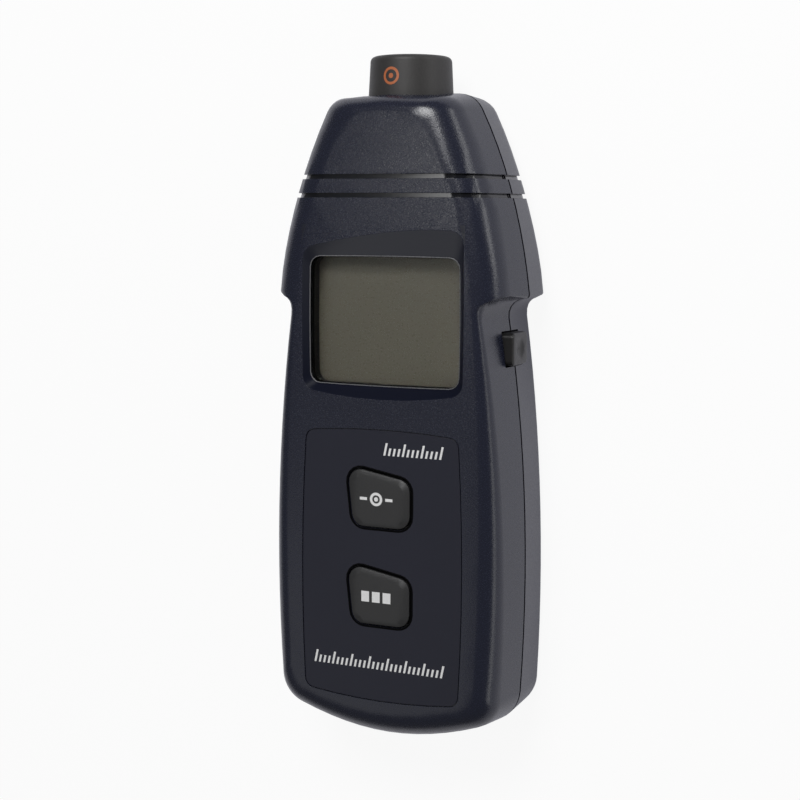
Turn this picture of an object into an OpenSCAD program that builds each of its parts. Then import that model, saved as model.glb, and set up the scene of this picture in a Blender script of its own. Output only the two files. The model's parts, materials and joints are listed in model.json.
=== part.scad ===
// Handheld laser tachometer: a two-part moulded housing with a display head, a notched grip
// and an optical nose. It lies on its back: +Z leaves the front face, +Y points along the nose
// and +X to the side with the trigger button.

/* [Housing outline] */
// Length of the grip, from its rounded end to the ledge under the head
grip_length = 125.2; // [118:0.2:134]
// Length of the head, from the ledge to its flat end
head_length = 55.9; // [52:0.1:64]
// Width of the head across its shoulders
shoulder_width = 72.2; // [70:0.2:78]
// Width of the head at its flat end
head_end_width = 38.8; // [38:0.2:44]
// How far the head's flat end rises to its middle
head_arch = 0.4; // [0.2:0.1:1]
// How far the head's sides bow outwards
head_bow = 5.5; // [4:0.1:6]
// Width of the grip where it meets the ledge
neck_width = 58.4; // [57:0.2:61]
// How far the grip's sides bow outwards
grip_bow = 6.6; // [5:0.1:8]
// Width of the grip at its rounded end
base_width = 68.8; // [66:0.2:72]
// Rise of the rounded end from its middle to its corners
base_rise = 7.7; // [6:0.1:8.4]
// Length of the flat middle that steers the rounded end's curve
base_flat = 27.2; // [20:0.4:32]
// Corner radius at the head's flat end
head_corner = 7.8; // [6:0.1:8.4]
// Corner radius of the shoulders
shoulder_corner = 1.1; // [0.8:0.1:2]
// Radius of the notch under the ledge
notch_round = 4.6; // [3:0.2:5.4]
// Corner radius at the grip's rounded end
base_corner = 10.4; // [9:0.1:13]

/* [Housing section] */
// Height of the front face above the back
face_height = 36.5; // [35:0.1:40]
// Height of the parting line above the back
parting_height = 17.4; // [16.6:0.1:18.4]
// Wall thickness of both shells
wall = 2; // [1.6:0.1:2.4]
// How far the front shell's sides lean in from the parting line to the face edge
front_draft = 1.2; // [0.6:0.1:1.6]
// How far the rear shell's sides lean in from the parting line to the back edge
rear_draft = 0.5; // [0.2:0.1:1]
// Width of the fine line between the two shells
parting_gap = 0.3; // [0.2:0.05:0.5]
// Height of the lip that the rear shell puts inside the front shell
lip_height = 1.2; // [0.8:0.1:1.6]
// Front edge rounding at the head's flat end
front_edge_end = 5.8; // [5:0.1:6]
// Front edge rounding of the head's sides at its flat end
front_edge_side = 9.4; // [8:0.1:10]
// Front edge rounding at the shoulders
front_edge_shoulder = 9.8; // [8:0.1:11]
// Front edge rounding at the neck
front_edge_neck = 3.5; // [3.2:0.1:4.5]
// Front edge rounding along the grip
front_edge_grip = 7.6; // [6.5:0.1:8.5]
// Front edge rounding at the grip's rounded end
front_edge_base = 9.3; // [7:0.1:9.6]
// Back edge rounding at the head's flat end
rear_edge_end = 5.3; // [4:0.1:5.6]
// Back edge rounding of the head's sides at its flat end
rear_edge_side = 6; // [5:0.1:7]
// Back edge rounding at the shoulders
rear_edge_shoulder = 6.7; // [5.5:0.1:8]
// Back edge rounding at the neck
rear_edge_neck = 2.9; // [2.6:0.1:3.6]
// Back edge rounding along the grip
rear_edge_grip = 6.2; // [5.8:0.1:8]
// Back edge rounding at the grip's rounded end
rear_edge_base = 4; // [3.6:0.1:6]

/* [Head grooves] */
// Distance of the first groove from the head's flat end
groove_drop = 22.8; // [20:0.1:25]
// Spacing of the two grooves
groove_pitch = 5.1; // [4:0.1:7]
// Width of a groove
groove_width = 1.25; // [0.8:0.05:1.8]
// Depth of a groove
groove_depth = 0.7; // [0.4:0.05:1]

/* [Display] */
// Width of the display window
window_width = 45; // [42:0.2:46]
// Height of the display window
window_height = 35.2; // [32:0.2:36]
// Distance of the window's middle below the ledge
window_drop = 6.35; // [5:0.05:8]
// Corner radius of the window
window_corner = 3; // [2:0.2:4]
// How far the window's sides bow outwards
window_bow = 0.2; // [0.1:0.05:0.6]
// Depth of the scooped bezel at the window's edge
bezel_depth = 1.5; // [1:0.1:1.8]
// Bezel ramp at the window's sides
bezel_side = 1.75; // [1.2:0.05:2.2]
// Bezel ramp at the window's upper left corner
bezel_rise_left = 2.4; // [1.5:0.1:4]
// Bezel ramp at the window's upper right corner
bezel_rise_right = 7.2; // [5:0.1:8]
// Bezel ramp where its upper curve crests
bezel_crest = 8.5; // [7:0.1:9]
// Bezel ramp at the window's lower corners
bezel_fall = 1.7; // [1:0.1:2.5]
// Bezel ramp where its lower curve is steered
bezel_sag = 5.7; // [4:0.1:6.5]
// Width of the flat land between the bezel ramp and the window
bezel_land = 0.25; // [0.1:0.05:0.5]
// Corner radius of the bezel
bezel_corner = 4; // [3:0.2:5]
// Thickness of the wall that frames the window
window_seat = 1.6; // [1.4:0.1:2]
// Thickness of the clear window's rim behind the seat
window_rim = 1; // [0.8:0.1:1.4]
// Width of the clear window's rim behind the seat
window_rim_width = 1.2; // [0.8:0.1:1.6]
// Depth of the display cell's face below the window's rim
cell_depth = 3.4; // [2.8:0.1:3.8]
// Thickness of the display cell
cell_thickness = 2.8; // [2.2:0.1:3]
// Margin of the display cell outside the window
cell_margin = 1.2; // [0.8:0.1:1.6]

/* [Panel] */
// Width of the panel between its upper corners
panel_top_width = 46.6; // [44:0.2:48]
// Width of the panel between its lower corners
panel_base_width = 47.4; // [44:0.2:48]
// How far the panel's sides bow outwards
panel_bow = 2.2; // [1:0.1:2.6]
// Length of the panel between its corners
panel_length = 74.4; // [72:0.2:76]
// Distance of the panel's lower corners above the grip's end
panel_rise = 13.6; // [12.4:0.2:15]
// How far the panel's ends arch outwards
panel_arch = 3; // [1:0.1:3.4]
// Corner radius of the panel
panel_corner = 3; // [2:0.2:4]
// Depth of the panel's recess
panel_recess = 0.5; // [0.4:0.05:0.7]
// Thickness of the panel sheet
panel_sheet = 0.4; // [0.3:0.05:0.6]
// Gap around the panel sheet
panel_gap = 0.25; // [0.15:0.05:0.4]

/* [Keys] */
// Distance of the lower key above the grip's end
key_rise = 41.9; // [40:0.1:43]
// Spacing of the two keys
key_pitch = 27.7; // [26:0.1:29]
// Sideways place of the keys
key_shift = -0.3; // [-1:0.1:1]
// Reach of a key opening to its upper left corner
key_left_high = 10.3; // [9:0.1:11]
// Reach of a key opening to its lower left corner
key_left_low = 8.3; // [7:0.1:9]
// Reach of a key opening to the right
key_right = 9.6; // [8:0.1:11]
// Reach of a key opening up to its left corner
key_up_left = 9.4; // [8:0.1:10]
// Reach of a key opening up to its right corner
key_up_right = 5.8; // [5:0.1:7]
// Reach of a key opening downwards
key_down = 8.2; // [7:0.1:9]
// Corner radius of a key opening
key_corner = 4; // [3:0.1:5]
// Gap between a key and its opening
key_gap = 0.4; // [0.3:0.05:0.6]
// How far a key stands proud of the face
key_proud = 0.8; // [0.5:0.1:1.2]
// Width of the chamfer around a key's top
key_chamfer = 1.5; // [0.8:0.1:2]
// Width of the flange that keeps a key in
key_flange = 1; // [0.8:0.1:1.4]
// Thickness of that flange
key_flange_thickness = 1.2; // [0.8:0.1:1.6]
// Travel of a key
key_travel = 0.6; // [0.3:0.1:0.8]

/* [Trigger button] */
// Distance of the trigger button's middle below the ledge
button_drop = 13.75; // [12.5:0.05:16]
// Length of the trigger button along the grip
button_length = 9.1; // [8:0.1:10]
// Height of the trigger button across the parting line
button_height = 11.2; // [9.6:0.1:11.4]
// Reach of the trigger button's face from the middle plane
button_reach = 33.6; // [33:0.1:35]
// Edge rounding of the trigger button
button_edge = 0.8; // [0.4:0.1:1.2]
// Diameter of the thumb dimple
dimple_diameter = 5.8; // [4:0.1:7]
// Depth of the thumb dimple
dimple_depth = 0.6; // [0.3:0.05:0.9]
// Travel of the trigger button
button_travel = 0.8; // [0.4:0.1:1]

/* [Optical nose] */
// How far the nose stands out of the head
nose_stand = 10.4; // [8:0.1:14]
// Diameter of the nose where it leaves the head
nose_diameter = 23.7; // [23.4:0.1:25]
// How much the nose narrows towards its tip
nose_taper = 0.9; // [0.4:0.1:1.2]
// Rounding of the nose's tip
nose_round = 1.5; // [0.8:0.1:1.6]
// Inner diameter of the nose in front of the lens
mouth_diameter = 19.2; // [18.4:0.1:19.4]
// Inner diameter of the nose behind the lens
barrel_diameter = 17.6; // [17:0.1:18]
// Length of the nose tube
nose_length = 28; // [26:0.5:34]
// Depth of the lens seat below the tip
lens_seat = 11; // [9:0.1:12]
// Thickness of the lens at its rim
lens_thickness = 2.2; // [1.6:0.1:2.6]
// Crown of the lens
lens_crown = 1.1; // [0.6:0.1:1.6]
// Diameter of the laser barrel
laser_diameter = 7; // [6:0.1:7.6]
// Length of the laser barrel
laser_length = 20; // [16:0.5:22]
// Diameter of the light sensor
sensor_diameter = 5; // [4:0.1:6]

/* [Battery] */
// Width of the battery
battery_width = 26.5; // [26:0.1:27]
// Length of the battery
battery_length = 48.5; // [46:0.1:49.5]
// Height of the battery
battery_height = 17.5; // [16.5:0.1:17.5]
// Room in the bay for the snap connector
snap_length = 6.4; // [5:0.1:7]
// Distance of the bay's end above the grip's end
bay_rise = 8; // [7.6:0.1:9]
// Thickness of the bay's walls
bay_wall = 1.2; // [1:0.1:1.6]
// Thickness of the bay's roof
bay_roof = 0.9; // [0.7:0.1:1]
// Thickness of the battery door
door_thickness = 1.85; // [1.7:0.05:2]
// Width of the battery door without its tongues
door_width = 33; // [31:0.2:36]
// Reach of the door's side tongues
door_tongue = 1.8; // [1.2:0.1:2]
// Running gap of the battery door
door_gap = 0.3; // [0.2:0.05:0.4]

/* [Board] */
// Thickness of the circuit board
board_thickness = 1.6; // [1.2:0.1:1.6]
// Width of the board below the display
board_width = 52; // [51:0.2:53]
// Width of the board in the grip
board_grip_width = 45; // [44:0.2:45.6]
// Side of a tactile switch
switch_side = 6; // [5:0.1:6.4]
// Height of a tactile switch body
switch_height = 3.4; // [3:0.1:3.8]
// Diameter of a switch plunger
plunger_diameter = 3.5; // [3:0.1:3.6]
// Running gap around a plunger
plunger_gap = 0.08; // [0.03:0.01:0.1]

/* [Fasteners] */
// Diameter of a case screw's thread
screw_diameter = 2.6; // [2.2:0.1:3]
// Diameter of a case screw's head
screw_head = 4.6; // [4.2:0.1:5]
// Diameter of a case screw boss
boss_diameter = 6.8; // [6.4:0.1:7.4]
// Sideways place of the head's bosses
boss_head_x = 17.6; // [17:0.1:18.2]
// Distance of the head's bosses from the head's flat end
boss_head_drop = 19.8; // [18.5:0.1:20.2]
// Sideways place of the grip's bosses
boss_base_x = 26.6; // [26.4:0.1:27]
// Distance of the grip's bosses above the grip's end
boss_base_rise = 20; // [18:0.2:24]
// Diameter of a board screw's thread
board_screw_diameter = 2; // [1.8:0.1:2.2]
// Diameter of a board boss
board_boss_diameter = 5; // [4.6:0.1:5.4]
// Sideways place of the board bosses
board_boss_x = 19.4; // [18.4:0.1:19.8]
// Distance of the lower board bosses above the grip's end
board_boss_rise = 21; // [19:0.2:24]
// Spacing of the board bosses along the grip
board_boss_pitch = 70.5; // [69.5:0.1:71]

/* [Hidden] */
$fn = 48;
small_cut = 1;
flat_gap = 0.3;
glue_gap = 0.1;
overlap = 0.4;

// Places along the instrument, with the middle of its whole length at zero
y_base = -(grip_length + head_length + nose_stand) / 2;
y_ledge = y_base + grip_length;
y_head = y_ledge + head_length;
y_tip = y_head + nose_stand;
y_window = y_ledge - window_drop;
y_button = y_ledge - button_drop;
y_mem = y_base + key_rise;
y_read = y_mem + key_pitch;
groove_places = [y_head - groove_drop, y_head - groove_drop - groove_pitch];

// Heights, from the front face down to the board
inside_height = face_height - wall;
bezel_height = face_height - bezel_depth;
seat_height = bezel_height - window_seat;
rim_height = seat_height - window_rim;
cell_height = rim_height - cell_depth;
cell_back = cell_height - cell_thickness;
strip_height = 2.6;
strip_width = 2.2;
window_sink = 0.15;
seat_margin = 1;
board_top = cell_back - strip_height;
board_back = board_top - board_thickness;

// Points that steer the outline of the right half at the parting line, from head to base
bow_place = 0.475;
head_end = [head_end_width / 2, y_head];
shoulder = [shoulder_width / 2, y_ledge];
neck = [neck_width / 2, y_ledge];
base_end = [base_width / 2, y_base + base_rise];
outline_path = [
    [0, y_head + head_arch],
    head_end,
    mix(head_end, shoulder, bow_place) + [head_bow, 0],
    shoulder,
    neck,
    mix(neck, base_end, bow_place) + [grip_bow, 0],
    base_end,
    [base_flat / 2, y_base],
    [0, y_base]
];

// Steps along each stretch of the outline, and around the rounded edges
steps_corner = 5;
steps_head = 9;
steps_shoulder = 3;
steps_notch = 5;
steps_grip = 13;
steps_base_corner = 8;
steps_base = 6;
steps_edge = 5;

// Shares of an edge rounding that move the face's base corners inwards, and of the radii there
corner_share = 0.72;
face_corner_share = 0.66;
inner_share = 0.6;
smallest_radius = 0.2;
ledge_share = 0.98;

front_edges = [
    front_edge_end, front_edge_side, front_edge_shoulder,
    front_edge_neck, front_edge_grip, front_edge_base
];
rear_edges = [
    rear_edge_end, rear_edge_side, rear_edge_shoulder,
    rear_edge_neck, rear_edge_grip, rear_edge_base
];

function mix(a, b, t) = a + (b - a) * t;
function unit(v) = v / norm(v);
function turned(v, a) = [v[0] * cos(a) - v[1] * sin(a), v[0] * sin(a) + v[1] * cos(a)];
function inward(a, b) = let (t = unit(b - a)) [t[1], -t[0]];
function opposite(p) = [-p[0], p[1]];
function lifted(points, z) = [for (p = points) [p[0], p[1], z]];
function mirrored(half) = concat(half, [for (i = [len(half) - 2 : -1 : 1]) opposite(half[i])]);

// Angle by which a path turns at p1, and the arc of radius r that rounds it there
function corner_turn(p0, p1, p2) = acos(min(1, unit(p1 - p0) * unit(p2 - p1)));
function arc_reach(p0, p1, p2, r) = r * tan(corner_turn(p0, p1, p2) / 2);
function arc_start(p0, p1, p2, r) = p1 - unit(p1 - p0) * arc_reach(p0, p1, p2, r);
function arc_end(p0, p1, p2, r) = p1 + unit(p2 - p1) * arc_reach(p0, p1, p2, r);
function arc(p0, p1, p2, r, n) =
    let (
        side = sign(cross(p1 - p0, p2 - p1)),
        start = arc_start(p0, p1, p2, r),
        centre = start - side * r * inward(p0, p1),
        turn = side * corner_turn(p0, p1, p2)
    )
    [for (i = [0 : n]) centre + turned(start - centre, turn * i / n)];

// Points between p0 and p1 on the curve that the point c pulls outwards
function curve(p0, c, p1, n) =
    n < 2 ? [] : [for (i = [1 : n - 1]) let (t = i / n) mix(mix(p0, c, t), mix(c, p1, t), t)];

// A path moved inwards by d, with its ends kept on the middle plane
function moved_in(path, d) =
    let (last = len(path) - 1)
    [for (i = [0 : last])
        let (
            a = inward(i == 0 ? opposite(path[1]) : path[i - 1], path[i]),
            b = inward(path[i], i == last ? opposite(path[last - 1]) : path[i + 1])
        )
        path[i] + d * (a + b) / (1 + a * b)];

// Radii of the shoulder and of the notch beside it, moved inwards by d: both fit on the ledge
function shoulder_radius(d) = max(shoulder_corner - d, smallest_radius);
function notch_radius(p, d) =
    let (
        room = p[3][0] - p[4][0] - arc_reach(p[2], p[3], p[4], shoulder_radius(d)),
        most = ledge_share * room / tan(corner_turn(p[3], p[4], p[5]) / 2)
    )
    min(notch_round + d, most);

// Right half of the outline at the parting line, moved inwards by d
function outline_half(d) =
    let (
        p = moved_in(outline_path, d),
        r1 = max(head_corner - d, smallest_radius),
        r3 = shoulder_radius(d),
        r4 = notch_radius(p, d),
        r6 = max(base_corner - d, smallest_radius)
    )
    concat(
        [p[0]],
        arc(p[0], p[1], p[2], r1, steps_corner),
        curve(arc_end(p[0], p[1], p[2], r1), p[2], arc_start(p[2], p[3], p[4], r3), steps_head),
        arc(p[2], p[3], p[4], r3, steps_shoulder),
        arc(p[3], p[4], p[5], r4, steps_notch),
        curve(arc_end(p[3], p[4], p[5], r4), p[5], arc_start(p[5], p[6], p[7], r6), steps_grip),
        arc(p[5], p[6], p[7], r6, steps_base_corner),
        curve(arc_end(p[5], p[6], p[7], r6), p[7], p[8], steps_base),
        [p[8]]
    );

// Points that steer the flat face inside the rounded edges, where the notch has faded out
function face_path(edges) =
    let (
        o = outline_path,
        slope = (o[2][0] - o[1][0]) / (o[1][1] - o[2][1]),
        notch_end = arc_end(o[3], o[4], o[5], notch_radius(o, 0)),
        corner = o[1] - [edges[1], edges[0]],
        ledge = [o[3][0] - edges[2], o[3][1] + shoulder_corner],
        base = o[6] + edges[5] * [-corner_share, corner_share]
    )
    [
        [0, corner[1] + head_arch],
        corner,
        [ledge[0], corner[1] - (ledge[0] - corner[0]) / slope],
        ledge,
        notch_end - [edges[3], 0],
        o[5] - [edges[4], 0],
        base,
        [o[7][0] * base[0] / o[6][0], o[8][1] + edges[5]],
        o[8] + [0, edges[5]]
    ];

// Right half of the face's outline moved inwards by d, point for point beside outline_half
function face_half(edges, d) =
    let (
        p = moved_in(face_path(edges), d),
        r1 = max(head_corner * face_corner_share - d, smallest_radius),
        r6 = max(base_corner * face_corner_share - d, smallest_radius),
        between = steps_shoulder + steps_notch + 1
    )
    concat(
        [p[0]],
        arc(p[0], p[1], p[2], r1, steps_corner),
        curve(arc_end(p[0], p[1], p[2], r1), p[2], p[3], steps_head),
        [for (i = [0 : between]) mix(p[3], p[4], i / between)],
        curve(p[4], p[5], arc_start(p[5], p[6], p[7], r6), steps_grip),
        arc(p[5], p[6], p[7], r6, steps_base_corner),
        curve(arc_end(p[5], p[6], p[7], r6), p[7], p[8], steps_base),
        [p[8]]
    );

// Rings of a shell's skin, d inside its outer surface: up the drafted side, then around the edge.
// up is 1 for the front shell and -1 for the rear shell.
function shell_rings(edges, draft, d, z_part, z_face, up) =
    let (
        outer = mirrored(outline_half(d)),
        side = mirrored(outline_half(d + draft)),
        face = mirrored(face_half(edges, d * inner_share)),
        z_end = z_face - up * d,
        rounding = [for (i = [0 : len(side) - 1]) norm(face[i] - side[i])],
        edge_rings = [for (k = [0 : steps_edge])
            let (a = 90 * k / steps_edge)
            [for (i = [0 : len(side) - 1])
                let (p = mix(face[i], side[i], cos(a)))
                [p[0], p[1], z_end - up * rounding[i] * (1 - sin(a))]]]
    )
    concat([lifted(outer, z_part)], edge_rings);

// Outline with four rounded corners, each side steered by its own point
function bowed_outline(corners, steer, r, n_corner, n_side) =
    [for (i = [0 : 3])
        let (
            before = steer[(i + 3) % 4],
            after = steer[i],
            next = corners[(i + 1) % 4],
            beyond = steer[(i + 1) % 4]
        )
        each concat(
            arc(before, corners[i], after, r, n_corner),
            curve(arc_end(before, corners[i], after, r), after, arc_start(after, next, beyond, r), n_side)
        )];
function middles(c) = [for (i = [0 : 3]) mix(c[i], c[(i + 1) % 4], 0.5)];
function rectangle(w, h, at) =
    [at + [-w, h] / 2, at + [w, h] / 2, at + [w, -h] / 2, at + [-w, -h] / 2];
function rounded_rectangle(w, h, at, r) =
    let (c = rectangle(w, h, at)) bowed_outline(c, middles(c), r, 4, 1);

// A closed outline moved inwards by d
function shrunk(points, d) =
    let (n = len(points))
    [for (i = [0 : n - 1])
        let (
            a = inward(points[(i + n - 1) % n], points[i]),
            b = inward(points[i], points[(i + 1) % n])
        )
        points[i] + d * (a + b) / (1 + a * b)];

// Closed skin over rings of equal length that run clockwise, the lowest ring first
module skin(rings) {
    n = len(rings[0]);
    last = len(rings) - 1;
    polyhedron(
        points = [for (ring = rings) each ring],
        faces = concat(
            [[for (i = [n - 1 : -1 : 0]) i]],
            [for (k = [0 : last - 1], i = [0 : n - 1])
                let (a = k * n + i, b = k * n + (i + 1) % n)
                each [[a, b, b + n], [a, b + n, a + n]]],
            [[for (i = [0 : n - 1]) last * n + i]]
        )
    );
}

module slab(points, z0, z1) {
    translate([0, 0, z0]) linear_extrude(z1 - z0) polygon(points);
}

module block(low, high) {
    translate(low) cube(high - low);
}

module rod(from, length, diameter) {
    translate(from) cylinder(d = diameter, h = length);
}

// A turned piece on the nose's axis, its profile given as [radius, place along the nose]
module turned_on_nose(profile) {
    translate([0, 0, parting_height])
        rotate([-90, 0, 0]) rotate_extrude() polygon(profile);
}

// A round bar along the nose, off its axis by x
module nose_bar(x, y0, y1, diameter) {
    translate([x, y0, parting_height])
        rotate([-90, 0, 0]) cylinder(d = diameter, h = y1 - y0);
}

// Places of the fasteners
case_boss_places = [for (s = [-1, 1]) each [
    [s * boss_head_x, y_head - boss_head_drop],
    [s * boss_base_x, y_base + boss_base_rise]]];
board_boss_places = [for (s = [-1, 1], k = [0, 1])
    [s * board_boss_x, y_base + board_boss_rise + k * board_boss_pitch]];

// Outlines on the front face
window_outline = bowed_outline(
    rectangle(window_width, window_height, [0, y_window]),
    [
        [0, y_window + window_height / 2 + 2 * window_bow],
        [window_width / 2 + 2 * window_bow, y_window],
        [0, y_window - window_height / 2 - 2 * window_bow],
        [-window_width / 2 - 2 * window_bow, y_window]
    ],
    window_corner, 4, 6
);
function window_frame(margin) =
    rounded_rectangle(window_width + 2 * margin, window_height + 2 * margin, [0, y_window], window_corner);
bezel_low = y_window - window_height / 2;
bezel_high = y_window + window_height / 2;
bezel_half = window_width / 2 + bezel_side;
bezel_outline = bowed_outline(
    [
        [-bezel_half, bezel_high + bezel_rise_left],
        [bezel_half, bezel_high + bezel_rise_right],
        [bezel_half, bezel_low - bezel_fall],
        [-bezel_half, bezel_low - bezel_fall]
    ],
    [
        [bezel_half / 6, bezel_high + bezel_crest],
        [bezel_half + 2 * window_bow, y_window],
        [0, bezel_low - bezel_sag],
        [-bezel_half - 2 * window_bow, y_window]
    ],
    bezel_corner, 4, 6
);
panel_top_share = 0.7;
panel_low = y_base + panel_rise;
panel_high = panel_low + panel_length;
panel_outline = bowed_outline(
    [
        [-panel_top_width / 2, panel_high],
        [panel_top_width / 2, panel_high],
        [panel_base_width / 2, panel_low],
        [-panel_base_width / 2, panel_low]
    ],
    [
        [0, panel_high + panel_arch * panel_top_share],
        [(panel_top_width + panel_base_width) / 4 + panel_bow, (panel_high + panel_low) / 2],
        [0, panel_low - panel_arch],
        [-(panel_top_width + panel_base_width) / 4 - panel_bow, (panel_high + panel_low) / 2]
    ],
    panel_corner, 4, 6
);
function key_outline(y) =
    let (
        at = [key_shift, y],
        c = [
            at + [-key_left_high, key_up_left],
            at + [key_right, key_up_right],
            at + [key_right, -key_down],
            at + [-key_left_low, -key_down]
        ]
    )
    bowed_outline(c, middles(c), key_corner, 5, 1);

// Heights of a key and of the switch below it
key_shoulder_share = 0.25;
stem_wall = 0.6;
plunger_stand = 1.4;
panel_floor = face_height - panel_recess;
key_flange_top = inside_height - flat_gap;
key_flange_back = key_flange_top - key_flange_thickness;
stem_diameter = plunger_diameter + 2 * stem_wall;
plunger_bore = plunger_diameter + 2 * plunger_gap;
switch_top = board_top + switch_height;
plunger_sink = key_travel + 2 * flat_gap;
plunger_top = switch_top + key_travel + plunger_stand;

// Places of the trigger button and of the switch behind it
button_low = parting_height - button_height / 2;
button_high = parting_height + button_height / 2;
button_corner = 1.5;
button_hole_gap = 0.35;
button_flange = 1.4;
button_wing_step = 1;
steps_button = 3;
button_flange_face = neck[0] - wall - flat_gap;
button_flange_thickness = 1.2;
side_switch_inset = 4;
side_switch_face = board_width / 2 - side_switch_inset;
side_plunger_face = side_switch_face + button_travel + plunger_stand;
side_switch_low = parting_height - switch_side / 2;

// Places of the optics along the nose
nose_back = y_tip - nose_length;
nose_radius = nose_diameter / 2;
steps_tip = 6;
steps_lens = 8;
nose_collar = 1.8;
nose_collar_thickness = 2;
collar_face = y_head - front_draft - wall - flat_gap;
lens_back = y_tip - lens_seat;
lens_front = lens_back + lens_thickness;
ring_thickness = 1.5;
ring_width = 1.2;
holder_length = 8;
holder_front = nose_back + holder_length;
laser_x = -4.4;
laser_tail = 4;
laser_back = nose_back - laser_tail;
laser_end = laser_back + laser_length;
laser_exit = 3;
sensor_x = 4.6;
sensor_body = 5;

// Places of the battery, its bay and its door
bay_gap = 0.3;
bay_half = battery_width / 2 + bay_gap;
bay_low = y_base + bay_rise;
bay_high = bay_low + battery_length + snap_length + 2 * bay_gap;
door_skin = 0.15;
door_top = door_skin + door_thickness;
shelf_height = door_top + door_gap;
shelf_thickness = 2;
bay_floor = shelf_height + bay_gap;
bay_ceiling = bay_floor + battery_height + bay_gap;
tongue_thickness = 0.9;
tongue_low = door_top - tongue_thickness;
door_half = door_width / 2;
door_catch = 2.4;
door_end = bay_high + bay_wall + door_catch;
shelf_margin = 3;
shelf_side = 2;
shelf_into_edge = 1.5;
shelf_half = door_half + door_tongue + door_gap + shelf_side;
lead_way = 6;
ridge_high = door_end - 8;
ridge_count = 6;
ridge_pitch = 2.4;
ridge_width = 1.1;
ridge_depth = 0.5;
ridge_length = 16;

// Places on the board
board_clear = 1;
board_rise = 14;
board_step_rise = 88;
board_past_window = 7;
board_low = y_base + board_rise;
board_step = y_base + board_step_rise;
board_high = y_window + window_height / 2 + board_past_window;
frame_wall = 1.6;
frame_width = window_width + 2 * cell_margin + 2 * flat_gap + 2 * frame_wall;
frame_height = window_height + 2 * cell_margin + 2 * flat_gap + 2 * frame_wall;
frame_top = rim_height - flat_gap;
chip_side = 14;
chip_height = 1.6;
crystal_size = [11, 4.6, 3.6];
crystal_at = [6, y_base + 82];
capacitor_diameter = 5;
capacitor_height = 7;
capacitor_places = [[-15, y_base + 76], [-15, y_base + 83]];
ribbon_width = 8;
ribbon_foot = 6;
ribbon_thickness = 0.3;
lead_diameter = 1.3;
lead_sides = 8;
steps_lead = 4;
lead_bend = 2;
lead_reach = 3;
lead_drop = 3;
lead_side = 3;
snap_thickness = snap_length - 2 * flat_gap;
snap_inset = 0.5;
battery_corner = 2;

// Screws
screw_tip = parting_height + 9;
counterbore = screw_head + 0.6;
screw_seat = 4;
screw_head_height = 1.8;
screw_slot = [2.6, 0.6, 1.6];
hole_spare = 1;
thread_gap = 0.2;
board_screw_length = 6;
board_screw_head = 3.6;
board_screw_head_height = 1.3;

// Each shell's skin, d inside its outer surface, carried past the parting line by extra
module front_skin(d, extra) {
    skin(shell_rings(front_edges, front_draft, d, parting_height + parting_gap / 2 - extra, face_height, 1));
}

module rear_skin(d, extra) {
    rings = shell_rings(rear_edges, rear_draft, d, parting_height - parting_gap / 2 + extra, 0, -1);
    skin([for (k = [len(rings) - 1 : -1 : 0]) rings[k]]);
}

// The two grooves around the head, cut groove_depth into either shell's skin
module head_grooves(front) {
    low = (front ? parting_height : 0) - small_cut;
    high = (front ? face_height : parting_height) + small_cut;
    half = groove_width / 2;
    difference() {
        for (y = groove_places)
            block([-shoulder_width, y - half, low], [shoulder_width, y + half, high]);
        if (front) front_skin(groove_depth, 2 * small_cut);
        else rear_skin(groove_depth, 2 * small_cut);
    }
}

// Openings that both shells share at the parting line
module shared_openings() {
    nose_bar(0, collar_face - small_cut, y_head + 2 * small_cut, nose_diameter + 2 * glue_gap);
    block(
        [button_flange_face, y_button - button_length / 2 - button_hole_gap, button_low - button_hole_gap],
        [shoulder_width, y_button + button_length / 2 + button_hole_gap, button_high + button_hole_gap]
    );
}

module front_shell() {
    lip_room = mirrored(outline_half(wall / 2));
    pad = window_rim_width + seat_margin;
    screw_hole = screw_tip + small_cut + hole_spare - parting_height;
    color([0.17, 0.18, 0.22])
    difference() {
        union() {
            difference() {
                front_skin(0, 0);
                front_skin(wall, small_cut);
                slab(lip_room, parting_height - small_cut, parting_height + lip_height + flat_gap);
            }
            for (p = case_boss_places)
                rod([p[0], p[1], parting_height], inside_height + overlap - parting_height, boss_diameter);
            for (p = board_boss_places)
                rod([p[0], p[1], board_top], inside_height + overlap - board_top, board_boss_diameter);
            slab(window_frame(pad), seat_height, inside_height + overlap);
        }
        slab(window_outline, seat_height - small_cut, face_height + small_cut);
        skin([
            lifted(shrunk(window_outline, -bezel_land), bezel_height),
            lifted(bezel_outline, face_height),
            lifted(bezel_outline, face_height + small_cut)
        ]);
        slab(panel_outline, panel_floor, face_height + small_cut);
        for (y = [y_read, y_mem])
            slab(key_outline(y), inside_height - small_cut, face_height + small_cut);
        head_grooves(true);
        shared_openings();
        for (p = case_boss_places)
            rod([p[0], p[1], parting_height - small_cut], screw_hole, screw_diameter);
        for (p = board_boss_places)
            rod([p[0], p[1], board_top - small_cut], board_screw_length + small_cut, board_screw_diameter);
    }
}

// Plate and side tongues of the battery door, grown by gap, from low up and out past the grip's end
module door_form(gap, low) {
    y_out = y_base - small_cut;
    block([-door_half - gap, y_out, low], [door_half + gap, door_end + gap, door_top + gap]);
    block(
        [-door_half - door_tongue - gap, y_out, tongue_low - gap],
        [door_half + door_tongue + gap, door_end + gap, door_top + gap]
    );
}

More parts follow.
